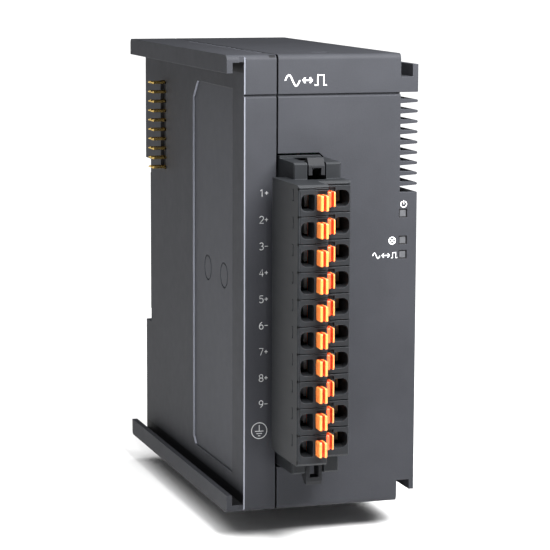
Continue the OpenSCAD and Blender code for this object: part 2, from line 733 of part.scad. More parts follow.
module top_lever() {
  color(latch_grey) placed() difference() {
    union() {
      lever_bar(-9.3, true);
      // finger tab that stands up in front, and two prongs below it
      along_x(lever_x0, lever_x1) polygon([
        [-9.6, flip(26.8, true)], [-9.6, flip(28.55, true)], [-9.35, flip(28.7, true)],
        [-8.7, flip(29.95, true)], [-8.1, flip(30.05, true)], [-6.2, flip(28.6, true)],
        [-6.2, flip(28.1, true)], [-8, flip(28.1, true)], [-8, flip(26.8, true)]]);
    }
    end_box(lever_x0 + prong_w, -11, 20, lever_x1 - prong_w, -7, 28.15, true);
    lever_bore(true);
  }
}

module bottom_lever() {
  color(latch_grey) placed() difference() {
    union() {
      lever_bar(-7.4, false);
      // pull tab that hangs below the plug, with a finger window
      difference() {
        along_x(lever_x0, lever_x1) polygon([
          [-9.2, flip(28.05, false)], [-9.2, flip(31.75, false)], [-8.85, flip(32.45, false)],
          [-8.3, flip(32.45, false)], [-6.35, flip(31.2, false)], [-6.35, flip(28.05, false)]]);
        end_box(lever_x0 + prong_w, -11, 27, lever_x1 - prong_w, -5, 31, false);
      }
    }
    lever_bore(false);
  }
}

// ---- pushers ----

module pusher(c, i) {
  x = push_x[c];
  y = front_y[c];
  z = row_z(i - 1) + push_dz;
  w = pusher_w / 2;
  h = pusher_h / 2;
  xd = x + driver_dx[c];
  yd = y - pusher_out + driver_deep;
  color(orange) placed() difference() {
    union() {
      cbox([x - w, y - pusher_out, z - h], [x + w, y + 5, z + h], 0.14);
      // shoulder that keeps the pusher in its well
      box([x - w - 0.2, y + 3.15, z - h - 0.2], [x + w + 0.2, y + 5, z + h + 0.2]);
    }
    // groove for a screwdriver
    box([xd - driver_w, y - pusher_out - 1, z - h - 1], [xd + driver_w, yd, z + h + 1]);
  }
}

left_shell();
right_shell();
rail_latch();
rail_latch_spring();
ground_spring();
power_board();
main_board();
front_board();
board_connectors();
board_screws();
power_converter();
capacitors();
choke();
isolators();
processor_chips();
bus_pin_carrier();
bus_pins();
bus_socket();
bus_socket_contacts();
light_guide();
status_leds();
terminal_header();
header_pins();
plug_body();
plug_contact_carrier();
current_bars();
clamp_springs();
lever_pins();
top_lever();
bottom_lever();
for (i = [1:10]) {
  pusher(0, i);
  pusher(1, i);
}
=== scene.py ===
"""Finishes, printed marks and studio for a rail-mounted input and output module."""

import json
import math

import bmesh
import bpy
from bpy.props import FloatProperty, FloatVectorProperty, PointerProperty
from mathutils import Matrix, Vector


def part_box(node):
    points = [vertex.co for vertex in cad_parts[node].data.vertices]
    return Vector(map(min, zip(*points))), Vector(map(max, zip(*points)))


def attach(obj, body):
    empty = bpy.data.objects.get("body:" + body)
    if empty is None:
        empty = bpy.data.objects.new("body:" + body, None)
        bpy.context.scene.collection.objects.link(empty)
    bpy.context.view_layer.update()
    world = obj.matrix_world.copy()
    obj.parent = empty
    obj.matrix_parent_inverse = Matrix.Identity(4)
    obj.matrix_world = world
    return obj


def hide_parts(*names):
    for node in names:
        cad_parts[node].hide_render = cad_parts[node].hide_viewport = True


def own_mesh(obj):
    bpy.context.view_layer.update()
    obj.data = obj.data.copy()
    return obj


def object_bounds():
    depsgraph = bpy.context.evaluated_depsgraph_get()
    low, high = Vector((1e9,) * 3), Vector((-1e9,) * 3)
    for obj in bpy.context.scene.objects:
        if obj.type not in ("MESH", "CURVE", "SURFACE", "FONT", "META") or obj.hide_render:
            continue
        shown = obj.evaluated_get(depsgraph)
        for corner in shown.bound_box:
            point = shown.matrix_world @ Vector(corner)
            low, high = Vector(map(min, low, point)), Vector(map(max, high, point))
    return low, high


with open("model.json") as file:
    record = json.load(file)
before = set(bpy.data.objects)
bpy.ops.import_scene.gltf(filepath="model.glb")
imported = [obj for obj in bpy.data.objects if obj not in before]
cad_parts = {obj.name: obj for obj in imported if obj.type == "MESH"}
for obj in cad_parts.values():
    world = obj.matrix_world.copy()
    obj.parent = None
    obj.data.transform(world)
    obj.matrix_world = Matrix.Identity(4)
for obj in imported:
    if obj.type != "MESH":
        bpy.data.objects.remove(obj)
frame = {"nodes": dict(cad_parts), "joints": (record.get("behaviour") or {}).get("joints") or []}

bl_info = {
    "name": "Rail Module Looks",
    "version": (1, 0, 0),
    "blender": (4, 5, 0),
    "location": "View3D > Sidebar > Module",
    "description": "Gives each piece of a rail-mounted controller module its finish and sets up a studio",
    "category": "Object",
}

MM = 0.001
NODES = frame["nodes"]
CAD_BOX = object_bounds()

# Places on the housing are measured from its front lower left corner, in millimetres.
BODY_W = 35.0
SHELL_LOW, SHELL_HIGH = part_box("right_shell")
TOP_Z = (SHELL_HIGH.z - SHELL_LOW.z) / MM
SEAM_X = 6.55
HOOK_REACH = 3.4
PLUG_X0 = 4.28
PLUG_MIDDLE = 39.2
# front of each column of terminals
COLUMN_FRONT = {"left": -20.0, "right": -14.0}
PLUG_FRONT = COLUMN_FRONT["left"]
ROW_PITCH = 5.08
ROWS = 10
# the painted shade of the right column's driver groove lies this far right of the middle of its pusher
DRIVER_OFFSET = 0.17
# the middle of a pusher's box lies this far above the middle of its row
PUSHER_LIFT = 0.03
LABEL_DEEP = 0.4
SLOT_X = 5.55
WINDOW_X, WINDOW_Y = 17.65, 7.7
LIGHT_X = BODY_W - 2.8
LIGHT_Z = (57.1, 51.85, 49.05)
CORNER = Vector((SHELL_HIGH.x - BODY_W * MM, SHELL_LOW.y, SHELL_LOW.z))


def place(x, y, z):
    """A point given in millimetres from the housing's front lower left corner."""
    return CORNER + Vector((x, y, z)) * MM


# ---------------------------------------------------------------- shader maths


class Value:
    """A number in a material. Arithmetic on it adds the Math nodes that work it out."""

    def __init__(self, finish, socket):
        self.finish = finish
        self.socket = socket

    def _math(self, operation, *operands):
        node = self.finish.add("ShaderNodeMath", {"operation": operation}, dict(enumerate(operands)))
        return Value(self.finish, node.outputs[0])

    def __add__(self, other):
        return self._math("ADD", self, other)

    def __radd__(self, other):
        return self._math("ADD", other, self)

    def __sub__(self, other):
        return self._math("SUBTRACT", self, other)

    def __rsub__(self, other):
        return self._math("SUBTRACT", other, self)

    def __mul__(self, other):
        return self._math("MULTIPLY", self, other)

    def __rmul__(self, other):
        return self._math("MULTIPLY", other, self)

    def __truediv__(self, other):
        return self._math("DIVIDE", self, other)

    def __gt__(self, other):
        return self._math("GREATER_THAN", self, other)

    def __lt__(self, other):
        return self._math("LESS_THAN", self, other)

    def __abs__(self):
        return self._math("ABSOLUTE", self)

    def fraction(self):
        return self._math("FRACT", self)

    def smaller(self, other):
        return self._math("MINIMUM", self, other)

    def larger(self, other):
        return self._math("MAXIMUM", self, other)

    def ramp(self, low, high):
        """0 below low, 1 above high and even in between."""
        sockets = {0: self, 1: low, 2: high, 3: 0.0, 4: 1.0}
        node = self.finish.add("ShaderNodeMapRange", {"clamp": True}, sockets)
        return Value(self.finish, node.outputs[0])


class NodeTree:
    """Nodes of a material or of the room."""

    def __init__(self, tree):
        self.tree = tree

    def add(self, kind, settings=None, sockets=None):
        """Add a node of this kind, set its settings and then fill its sockets."""
        node = self.tree.nodes.new(kind)
        for name, value in (settings or {}).items():
            setattr(node, name, value)
        for key, value in (sockets or {}).items():
            self.fill(node.inputs[key], value)
        return node

    def fill(self, socket, value):
        if isinstance(value, Value):
            value = value.socket
        if isinstance(value, bpy.types.NodeSocket):
            self.tree.links.new(value, socket)
        else:
            socket.default_value = value


class Finish(NodeTree):
    """A material under construction."""

    def __init__(self, name, **uniform):
        self.material = bpy.data.materials.new(name)
        self.material.use_nodes = True
        super().__init__(self.material.node_tree)
        self.shader = self.tree.nodes["Principled BSDF"]
        for socket, value in uniform.items():
            self.shader.inputs[socket.replace("_", " ")].default_value = value

    def drive(self, name, value):
        self.fill(self.shader.inputs[name], value)

    def spot(self):
        """Object coordinates in millimetres, in the frame that all pieces share."""
        source = self.add("ShaderNodeTexCoord")
        sockets = {0: source.outputs["Object"], "Scale": 1.0 / MM}
        scaled = self.add("ShaderNodeVectorMath", {"operation": "SCALE"}, sockets)
        return scaled.outputs[0]

    def axes(self):
        """The three object coordinates in millimetres."""
        parts = self.add("ShaderNodeSeparateXYZ", None, {0: self.spot()})
        return [Value(self, parts.outputs[i]) for i in range(3)]

    def corner_axes(self):
        """The three coordinates in millimetres from the housing's front lower left corner."""
        return [axis - start / MM for axis, start in zip(self.axes(), CORNER)]

    def base_colour(self):
        """The colour driven so far."""
        return self.shader.inputs["Base Color"].links[0].from_socket

    def facing(self, direction):
        """How squarely the surface faces this direction, from -1 to 1."""
        normal = self.add("ShaderNodeNewGeometry").outputs["Normal"]
        node = self.add("ShaderNodeVectorMath", {"operation": "DOT_PRODUCT"}, {0: normal, 1: direction})
        return Value(self, node.outputs["Value"])

    def noise(self, per_mm, detail=2.0, roughness=0.5, stretch=(1.0, 1.0, 1.0)):
        """Noise with this many lumps in a millimetre."""
        stretched = self.add("ShaderNodeVectorMath", {"operation": "MULTIPLY"}, {0: self.spot(), 1: stretch})
        node = self.add("ShaderNodeTexNoise", {"noise_dimensions": "3D"}, {
            "Vector": stretched.outputs[0], "Scale": per_mm, "Detail": detail, "Roughness": roughness})
        return Value(self, node.outputs["Fac"])

    def cells(self, per_mm):
        """Distance from the nearest of scattered points, this many in a millimetre."""
        node = self.add("ShaderNodeTexVoronoi", {"feature": "F1"}, {"Vector": self.spot(), "Scale": per_mm})
        return Value(self, node.outputs["Distance"])

    def blend(self, mask, low, high):
        """Colour low where the mask is 0 and colour high where it is 1."""
        node = self.add("ShaderNodeMix", {"data_type": "RGBA"}, {"Factor": mask})
        self.fill(node.inputs[6], low)
        self.fill(node.inputs[7], high)
        return node.outputs[2]

    def round_edges(self, radius_mm):
        """A normal that rounds the edges, and a mask that is 1 on them."""
        bevel = self.add("ShaderNodeBevel", {"samples": 4}, {"Radius": radius_mm * MM})
        flat = self.add("ShaderNodeNewGeometry").outputs["Normal"]
        dot = self.add("ShaderNodeVectorMath", {"operation": "DOT_PRODUCT"}, {0: bevel.outputs[0], 1: flat})
        return bevel.outputs[0], (1.0 - Value(self, dot.outputs["Value"])).ramp(0.02, 0.3)

    def relief(self, height, depth_mm, normal=None):
        """Raise the surface by height times depth."""
        bump = self.add("ShaderNodeBump", None, {"Height": height, "Distance": depth_mm * MM})
        if normal is not None:
            self.fill(bump.inputs["Normal"], normal)
        self.drive("Normal", bump.outputs[0])


def colour(values, gain=1.0):
    """A colour with alpha, made lighter or darker by gain."""
    return tuple(min(1.0, v * gain) for v in values[:3]) + (1.0,)


def dress(node_names, finish):
    """Give CAD nodes this finish."""
    for name in node_names:
        mesh = NODES[name].data
        mesh.materials.clear()
        mesh.materials.append(finish.material)


# ---------------------------------------------------------------- finishes


def moulded(name, base, grain_per_mm=3.5, grain_depth=0.012, rough=0.55, edge=0.16, wear=0.35, specular=0.1):
    """Textured moulding compound: fine spark-eroded grain, slight mottling, and edges painted lighter, partly
    as wear and partly as a painted highlight.
    """
    f = Finish(name, Specular_IOR_Level=specular)
    normal, edges = f.round_edges(edge)
    mottle = f.noise(0.12, 3.0).ramp(0.3, 0.7)
    speckle = f.noise(grain_per_mm * 1.4, 1.0).ramp(0.35, 0.7)
    shade = f.blend(mottle, colour(base, 0.9), colour(base, 1.08))
    shade = f.blend(speckle * 0.35, shade, colour(base, 1.35))
    # edges painted lighter: partly wear, partly a painted highlight
    f.drive("Base Color", f.blend(edges * wear, shade, colour(base, 6.0)))
    f.drive("Roughness", rough + f.noise(0.5, 2.0) * 0.08 - edges * 0.15)
    grain = f.noise(grain_per_mm, 2.0, 0.6) * 0.7 + f.cells(grain_per_mm * 0.8) * 0.3
    f.relief(grain, grain_depth, normal)
    return f


def satin(name, base, rough=0.42, edge=0.12, wear=0.3, specular=0.1):
    """Smooth moulding with faint flow marks."""
    f = Finish(name, Specular_IOR_Level=specular)
    normal, edges = f.round_edges(edge)
    flow = f.noise(0.35, 3.0, stretch=(1.0, 0.25, 1.0))
    shade = f.blend(flow, colour(base, 0.85), colour(base, 1.15))
    # edges painted lighter: partly wear, partly a painted highlight
    f.drive("Base Color", f.blend(edges * wear, shade, colour(base, 8.0)))
    f.drive("Roughness", rough + flow * 0.1)
    f.relief(f.noise(2.2, 2.0), 0.006, normal)
    return f


def drawn_metal(name, base, rough=0.28, streaks=(0.15, 3.0, 3.0), tarnish=0.25):
    """Stamped or drawn metal with fine streaks and a little tarnish."""
    f = Finish(name, Metallic=1.0)
    normal, edges = f.round_edges(0.06)
    stain = f.noise(0.6, 3.0).ramp(0.45, 0.8)
    f.drive("Base Color", f.blend(stain * tarnish, colour(base), colour(base, 0.55)))
    lines = f.noise(4.0, 2.0, stretch=streaks)
    f.drive("Roughness", rough + lines * 0.18 - edges * 0.08)
    f.relief(lines, 0.003, normal)
    return f


def circuit_board(name, mask_colour, axis):
    """Solder mask over copper tracks; axis is the board's thickness direction, 0 or 1."""
    f = Finish(name, Specular_IOR_Level=0.5)
    x, y, z = f.axes()
    across = y if axis == 0 else x
    lanes = (across * 1.2 + f.noise(0.12) * 3.0).fraction().ramp(0.55, 0.62)
    rungs = (z * 0.45).fraction().ramp(0.78, 0.82)
    tracks = lanes.larger(rungs) * (f.cells(0.16).ramp(0.15, 0.2))
    vias = f.cells(0.35).ramp(0.16, 0.1)
    green = f.blend(tracks, colour(mask_colour), colour(mask_colour, 1.7))
    f.drive("Base Color", f.blend(vias, green, (0.72, 0.6, 0.35, 1.0)))
    f.drive("Roughness", 0.32 + f.noise(1.0) * 0.1)
    f.relief(tracks, 0.03)
    return f


def orange_moulding(name, base, groove_shade, centres):
    """Glossy orange with painted shade, a deeper red, in the driver groove of each pusher, whose middles are
    given, and painted highlights on the edges.
    """
    f = Finish(name, Specular_IOR_Level=0.45, Subsurface_Weight=0.12, Subsurface_Scale=0.6 * MM)
    normal, edges = f.round_edges(0.1)
    x = f.axes()[0]
    off = abs(x - centres[0])
    for centre in centres[1:]:
        off = off.smaller(abs(x - centre))
    shaded_groove = 1.0 - off.ramp(0.24, 0.3)
    tone = f.noise(0.8, 2.0)
    skin = f.blend(tone, colour(base, 0.92), colour(base, 1.06))
    # painted highlight: the edges are painted lighter
    skin = f.blend(edges * 0.5, skin, colour(base, 1.5))
    # painted shade: the right column's prongs beside the left column, in its shadow, are painted the deeper
    # orange
    deep = (x > centres[-1] - 1.2) * (x < centres[-1])
    skin = f.blend(deep * 0.7, skin, colour(groove_shade, 1.9))
    # painted shade: the driver grooves are painted a deep red
    f.drive("Base Color", f.blend(shaded_groove, skin, colour(groove_shade)))
    f.drive("Roughness", 0.3 + tone * 0.12)
    f.relief(f.noise(3.0), 0.004, normal)
    return f


def ink(name, base):
    """Pad-printed ink, slightly uneven."""
    f = Finish(name, Specular_IOR_Level=0.3)
    patch = f.noise(5.0, 2.0)
    f.drive("Base Color", f.blend(patch, colour(base, 0.82), colour(base)))
    f.drive("Roughness", 0.5 + patch * 0.15)
    f.relief(patch, 0.004)
    return f


# ---------------------------------------------------------------- drawn marks


def arc(cx, cz, rx, rz, start, end, steps=10):
    """Points of an elliptic arc, angles in degrees from +X towards +Z."""
    turn = [math.radians(start + (end - start) * i / steps) for i in range(steps + 1)]
    return [(cx + rx * math.cos(a), cz + rz * math.sin(a)) for a in turn]


# Each digit is a list of strokes in a box 0.6 wide and 1 high.
DIGITS = {
    1: [[(0.12, 0.8), (0.36, 1.0), (0.36, 0.0)]],
    2: [arc(0.3, 0.72, 0.28, 0.28, 170, -35) + [(0.02, 0.0), (0.6, 0.0)]],
    3: [arc(0.28, 0.76, 0.26, 0.24, 150, -90) + arc(0.28, 0.26, 0.3, 0.26, 90, -150)],
    4: [[(0.44, 0.0), (0.44, 1.0), (0.0, 0.3), (0.6, 0.3)]],
    5: [[(0.55, 1.0), (0.1, 1.0), (0.06, 0.56)] + arc(0.28, 0.32, 0.3, 0.32, 110, -150)],
    6: [arc(0.62, 0.34, 0.6, 0.68, 110, 180) + arc(0.3, 0.3, 0.28, 0.3, 180, 540, 18)],
    7: [[(0.0, 1.0), (0.58, 1.0), (0.2, 0.0)]],
    8: [arc(0.3, 0.75, 0.25, 0.25, -90, 270, 16), arc(0.3, 0.25, 0.3, 0.25, 90, 450, 16)],
    9: [arc(0.3, 0.7, 0.28, 0.3, 0, 360, 18) + arc(-0.02, 0.66, 0.6, 0.68, 0, -70)],
}


def placed_strokes(strokes, x, z, height):
    """Strokes moved to lower left corner x, z and scaled to this height."""
    return [[(x + px * height, z + pz * height) for px, pz in line] for line in strokes]


def wave(x, z, width, height):
    """One period of a sine."""
    return [[(x + width * i / 16, z + height / 2 * math.sin(2 * math.pi * i / 16)) for i in range(17)]]


def pulse(x, z, width, height):
    """One square pulse on its base line."""
    up, down = x + width / 4, x + width * 3 / 4
    low, high = z - height / 2, z + height / 2
    return [[(x, low), (up, low), (up, high), (down, high), (down, low), (x + width, low)]]


def double_arrow(x, z, width, head):
    """A level arrow with a head at each end."""
    left = [(x + head, z + head), (x, z), (x + head, z - head)]
    right = [(x + width - head, z + head), (x + width, z), (x + width - head, z - head)]
    return [left, right, [(x, z), (x + width, z)]]


def tube_mesh(lines, radius, roundness):
    """Round tubes along lists of points, as one mesh."""
    curve = bpy.data.curves.new("tubes", "CURVE")
    curve.dimensions = "3D"
    curve.bevel_depth = radius
    curve.bevel_resolution = roundness
    curve.use_fill_caps = True
    for line in lines:
        spline = curve.splines.new("POLY")
        spline.points.add(len(line) - 1)
        for point, where in zip(spline.points, line):
            point.co = (*where, 1.0)
    source = bpy.data.objects.new("tubes", curve)
    bpy.context.scene.collection.objects.link(source)
    bpy.context.view_layer.update()
    mesh = bpy.data.meshes.new_from_object(source.evaluated_get(bpy.context.evaluated_depsgraph_get()))
    bpy.data.objects.remove(source)
    bpy.data.curves.remove(curve)
    return mesh


def print_marks(name, strokes, stroke_mm, material, proud_mm=0.015):
    """Ink lines on the front face, as one flattened mesh that moves with the housing."""
    lines = [[(x * MM, 0.0, z * MM) for x, z in line] for line in strokes]
    mesh = tube_mesh(lines, stroke_mm * MM / 2, 2)
    flat = Matrix.Translation(place(0, 0, 0)) @ Matrix.Diagonal((1.0, 2 * proud_mm / stroke_mm, 1.0, 1.0))
    mesh.transform(flat)
    return add_piece(name, mesh, material, "housing")


def add_piece(name, mesh, material, body):
    """Link a mesh as a piece that moves with this body."""
    mesh.name = name
    mesh.materials.clear()
    mesh.materials.append(material)
    piece = bpy.data.objects.new(name, mesh)
    bpy.context.scene.collection.objects.link(piece)
    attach(piece, body)
    return piece


def mesh_of(bm):
    mesh = bpy.data.meshes.new("mesh")
    bmesh.ops.recalc_face_normals(bm, faces=bm.faces)
    bm.to_mesh(mesh)
    bm.free()
    return mesh


# ---------------------------------------------------------------- settings


def colour_property(name, description, default):
    return FloatVectorProperty(name=name, description=description, default=default, subtype="COLOR", size=3,
                               min=0.0, max=1.0)


class HousingSettings(bpy.types.PropertyGroup):
    """Moulding compound of the two shells."""

    shell: colour_property("Shell", "Colour of the two shells", (0.024, 0.025, 0.029))
    label_gain: FloatProperty(
        name="Label recess", description="Lightness of the label recess against the shell",
        default=1.7, min=1.0, max=3.0)
    # painted highlight: how much lighter the eased front left edge and the label recess's rear wall are
    # painted
    highlight_gain: FloatProperty(
        name="Rubbed edges", description="Lightness of the edges that hands rub shiny",
        default=9.0, min=1.0, max=20.0)
    grain: FloatProperty(
        name="Grain", description="Depth of the spark-eroded grain in millimetres",
        default=0.012, min=0.0, max=0.05)
    # how far the edges are painted lighter, partly as wear and partly as a painted highlight
    wear: FloatProperty(
        name="Edge wear", description="How far the edges are rubbed light",
        default=0.35, min=0.0, max=1.0, subtype="FACTOR")


class PlugSettings(bpy.types.PropertyGroup):
    """Terminal plug, its pushers and levers."""

    body: colour_property("Plug", "Colour of the terminal plug", (0.012, 0.013, 0.0145))
    lever: colour_property("Levers", "Colour of the release levers and the rail latch", (0.0095, 0.01, 0.0115))
    pusher: colour_property("Pushers", "Colour of the release pushers", (0.88, 0.25, 0.055))
    # painted shade: the deep red painted into the pushers' driver grooves
    groove_shade: colour_property("Groove", "Colour in the pushers' driver grooves", (0.45, 0.020, 0.004))


class MetalSettings(bpy.types.PropertyGroup):
    """Contact and spring metals."""

    gold: colour_property("Gold", "Plated pins and contacts", (0.55, 0.38, 0.12))
    steel: colour_property("Steel", "Springs and screws", (0.62, 0.63, 0.65))
    spring_wire: FloatProperty(
        name="Spring wire", description="Thickness of the latch spring's wire",
        default=0.0004, min=0.0002, max=0.0006, subtype="DISTANCE", unit="LENGTH")
    # painted shade: the copper is darkened to stand in for the shade inside the wire holes; the choke takes it
    # 3.5 times lighter
    copper: colour_property("Copper", "Tinned current bars and the choke", (0.17, 0.105, 0.065))


class PrintSettings(bpy.types.PropertyGroup):
    """Printed marks."""

    ink: colour_property("Ink", "Colour of the print", (0.86, 0.87, 0.88))
    stroke: FloatProperty(name="Stroke", description="Width of a printed line", default=0.00015, min=0.0001,
                          max=0.0006, subtype="DISTANCE", unit="LENGTH")
    digit: FloatProperty(name="Digit height", description="Height of the terminal numbers", default=0.00135,
                         min=0.001, max=0.002, subtype="DISTANCE", unit="LENGTH")


class StudioSettings(bpy.types.PropertyGroup):
    """Floor, lights and camera."""

    floor: colour_property("Floor", "Colour of the floor", (0.93, 0.93, 0.93))
    sky: FloatProperty(
        name="Room light", description="Strength of the even light from all round",
        default=0.08, min=0.0, max=3.0)
    overhead: FloatProperty(
        name="Overhead light", description="Strength of the broad light from above",
        default=3.9, min=0.0, max=20.0)
    key: FloatProperty(
        name="Key light", description="Power of the soft box above the front",
        default=0.92, min=0.0, max=50.0, subtype="POWER", unit="POWER")
    fill: FloatProperty(
        name="Fill light", description="Power of the soft box at the front left",
        default=0.12, min=0.0, max=50.0, subtype="POWER", unit="POWER")
    focal: FloatProperty(name="Focal length", description="Focal length in millimetres on a 36 mm sensor",
                         default=149.75, min=50.0, max=300.0)


GROUPS = {
    "module_housing": HousingSettings,
    "module_plug": PlugSettings,
    "module_metal": MetalSettings,
    "module_print": PrintSettings,
    "module_studio": StudioSettings,
}


# ---------------------------------------------------------------- operators


class FinishHousing(bpy.types.Operator):
    """Give both shells their textured finish, with a lighter label recess, painted shade in their depths and
    painted highlights on the front left edge and the label recess's rear wall
    """

    bl_idname = "module.finish_housing"
    bl_label = "Finish housing"

    def execute(self, context):
        s = context.scene.module_housing
        f = moulded("charcoal_shell", s.shell, grain_depth=s.grain, wear=s.wear)
        x, y, z = f.corner_axes()
        plain = f.base_colour()
        recess = (abs(x - LABEL_DEEP) < 0.05) * (f.facing((-1.0, 0.0, 0.0)) > 0.8)
        plain = f.blend(recess, plain, colour(s.shell, s.label_gain))
        # painted highlight: the eased front left edge and the rear wall of the label recess are painted
        # lighter
        painted_edge_highlight = (f.facing((-0.7071, -0.7071, 0.0)) > 0.95) * (x < 0.5) * (abs(x - y) < 0.2)
        painted_wall_highlight = (f.facing((0.0, -1.0, 0.0)) > 0.4) * (x < LABEL_DEEP + 0.02) * (x > -0.5)
        painted_wall_highlight = painted_wall_highlight * (y > 30.0) * (y < 40.0)
        plain = f.blend(painted_edge_highlight.larger(painted_wall_highlight), plain, colour(s.shell, s.highlight_gain))
        # painted shade: the depths of the seam groove, the air slots and snap window in the top wall,
        # and the channels of the left hooks are painted near-black
        depth = y.smaller(TOP_Z - z).smaller(z)
        groove_shade = (abs(x - SEAM_X) < 0.215) * (depth > 0.12)
        slots = (abs(x - SLOT_X) < 0.63) * (depth > 0.1) * (TOP_Z - z < 2.0)
        window = (abs(x - WINDOW_X) < 1.7) * (abs(y - WINDOW_Y) < 0.65) * (depth > 0.1) * (TOP_Z - z < 2.0)
        from_end = z.smaller(TOP_Z - z)
        channel = (x > 1.05 - HOOK_REACH) * (x < 0.05) * (from_end > 1.3) * (from_end < 3.4) * (y > 0.05)
        painted_shade = groove_shade.larger(slots).larger(window).larger(channel)
        plain = f.blend(painted_shade, plain, (0.006, 0.006, 0.007, 1.0))
        f.drive("Base Color", plain)
        dress(["left_shell", "right_shell"], f)
        return {"FINISHED"}


class FinishPlug(bpy.types.Operator):
    """Give the terminal plug and its fixed header their satin finish, with painted shade in the plug's slots
    and grooves
    """

    bl_idname = "module.finish_plug"
    bl_label = "Finish terminal plug"

    def execute(self, context):
        s = context.scene.module_plug
        f = satin("plug_satin", s.body, edge=0.14, wear=0.5)
        x, y, z = f.corner_axes()
        # painted shade: the depths of the slots in the left side and of the grooves between terminals are
        # painted near-black
        slots = (x > PLUG_X0 + 0.04) * (x < PLUG_X0 + 0.32)
        slots = slots * (y > PLUG_FRONT + 2.6) * (y < PLUG_FRONT + 3.5)
        phase = ((z - PLUG_MIDDLE) / ROW_PITCH + 0.5).fraction()
        grooves = (abs(phase - 0.5) < 0.055) * (y > PLUG_FRONT + 0.06) * (y < PLUG_FRONT + 0.4)
        f.drive("Base Color", f.blend(slots.larger(grooves), f.base_colour(), (0.002, 0.002, 0.002, 1.0)))
        dress(["plug_body", "plug_contact_carrier"], f)
        dress(["terminal_header"], satin("header_satin", colour(s.body, 0.7)))
        return {"FINISHED"}


class FinishLevers(bpy.types.Operator):
    """Give the release levers and the rail latch their finish"""

    bl_idname = "module.finish_levers"
    bl_label = "Finish levers and latch"

    def execute(self, context):
        s = context.scene.module_plug
        grey = satin("lever_grey", s.lever, rough=0.6, wear=0.5, specular=0.15)
        dress(["top_lever", "bottom_lever", "rail_latch"], grey)
        return {"FINISHED"}


class FinishPushers(bpy.types.Operator):
    """Give the twenty release pushers their orange finish"""

    bl_idname = "module.finish_pushers"
    bl_label = "Finish pushers"

    def execute(self, context):
        s = context.scene.module_plug
        centres = []
        for column in ("left", "right"):
            low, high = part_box(column + "_pusher_1")
            centres.append((low.x + high.x) / 2 / MM + (DRIVER_OFFSET if column == "right" else 0.0))
        f = orange_moulding("orange_moulding", s.pusher, s.groove_shade, centres)
        dress([n for n in NODES if "_pusher_" in n], f)
        return {"FINISHED"}


class FinishMetals(bpy.types.Operator):
    """Give contacts, springs, screws and pins their metals"""

    bl_idname = "module.finish_metals"
    bl_label = "Finish metals"

    def execute(self, context):
        s = context.scene.module_metal
        gold = drawn_metal("gold_plate", s.gold, rough=0.12)
        dress(["bus_pins", "bus_socket_contacts", "header_pins"], gold)
        dress(["ground_spring", "lever_pins", "board_screws"], drawn_metal("spring_steel", s.steel, rough=0.3))
        # painted shade: the current bars take the darkened copper, standing in for the shade inside the wire
        # holes
        dress(["current_bars"], drawn_metal("tinned_copper", s.copper, rough=0.32))
        dress(["choke"], drawn_metal("choke_winding", colour(s.copper, 3.5), streaks=(6.0, 0.4, 0.4)))
        return {"FINISHED"}


def travel(joint):
    """How far a sliding joint goes from rest, in metres."""
    row = next(j for j in frame["joints"] if j["name"] == joint)
    return max(abs(end) for end in row["range_m"])


SPRING_TURNS = 5
STEPS_PER_TURN = 24
# share of the wire at each end of the latch spring that hardly rises
LEVEL_END = 0.08


class BuildLatchSpring(bpy.types.Operator):
    """Wind the rail latch's return spring"""

    bl_idname = "module.build_latch_spring"
    bl_label = "Build latch spring"

    def execute(self, context):
        s = context.scene.module_metal
        low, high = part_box("rail_latch_spring")
        wire = s.spring_wire / 2
        radius = (high.x - low.x) / 2 - wire
        middle_x, middle_y = (low.x + high.x) / 2, (low.y + high.y) / 2
        rise = high.z - low.z - 2 * wire
        steps = SPRING_TURNS * STEPS_PER_TURN
        path = []
        for k in range(steps + 1):
            share = k / steps
            # level where the coil stands and where the latch presses
            climb = min(max((share - LEVEL_END) / (1.0 - 2 * LEVEL_END), 0.0), 1.0)
            height = climb * (rise - 2 * wire) + wire * share * 2
            turn = 2 * math.pi * SPRING_TURNS * share
            path.append((middle_x + radius * math.cos(turn), middle_y + radius * math.sin(turn),
                         low.z + wire + height))
        mesh = tube_mesh([path], wire, 3)
        steel = drawn_metal("spring_wire", s.steel, rough=0.25, streaks=(3.0, 3.0, 0.4))
        piece = add_piece("latch_return_spring", mesh, steel.material, "housing")
        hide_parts("rail_latch_spring")
        keep = 1.0 - travel("rail_latch_pull") / (high.z - low.z)
        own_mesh(piece)
        return {"FINISHED"}


# Outline of a clamp leaf: how far it reaches away from its root, and how far behind the front of its column.
LEAF_BACK = 8.35
LEAF = [(0.0, 5.15), (0.0, 8.0), (0.4, LEAF_BACK), (3.9, 6.6), (3.9, 6.25), (0.5, 7.9), (0.3, 7.8),
        (0.3, 5.5), (2.6, 5.4), (2.6, 5.15)]
LEAF_ROOT = {"left": 9.75, "right": 10.85}
# the left column's leaves reach left and the right column's reach right
LEAF_SIDE = {"left": -1, "right": 1}
LEAF_HALF = 1.3
LEAF_EASE = 0.03


def clamp_leaf(column, z):
    """One bent leaf, with the edges of its two sides eased."""
    outline = [(LEAF_ROOT[column] + LEAF_SIDE[column] * reach, COLUMN_FRONT[column] + behind)
               for reach, behind in LEAF]
    bm = bmesh.new()
    rings = [[bm.verts.new(place(x, y, z + dz)) for x, y in outline] for dz in (-LEAF_HALF, LEAF_HALF)]
    for ring in rings:
        bm.faces.new(ring)
    for i in range(len(outline)):
        k = (i + 1) % len(outline)
        bm.faces.new((rings[0][i], rings[0][k], rings[1][k], rings[1][i]))
    side_edges = [edge for ring in rings for edge in bm.edges if all(vert in ring for vert in edge.verts)]
    bmesh.ops.bevel(bm, geom=side_edges, offset=LEAF_EASE * MM, segments=1, affect="EDGES")
    bmesh.ops.triangulate(bm, faces=[face for face in bm.faces if len(face.verts) > 4])
    return mesh_of(bm)


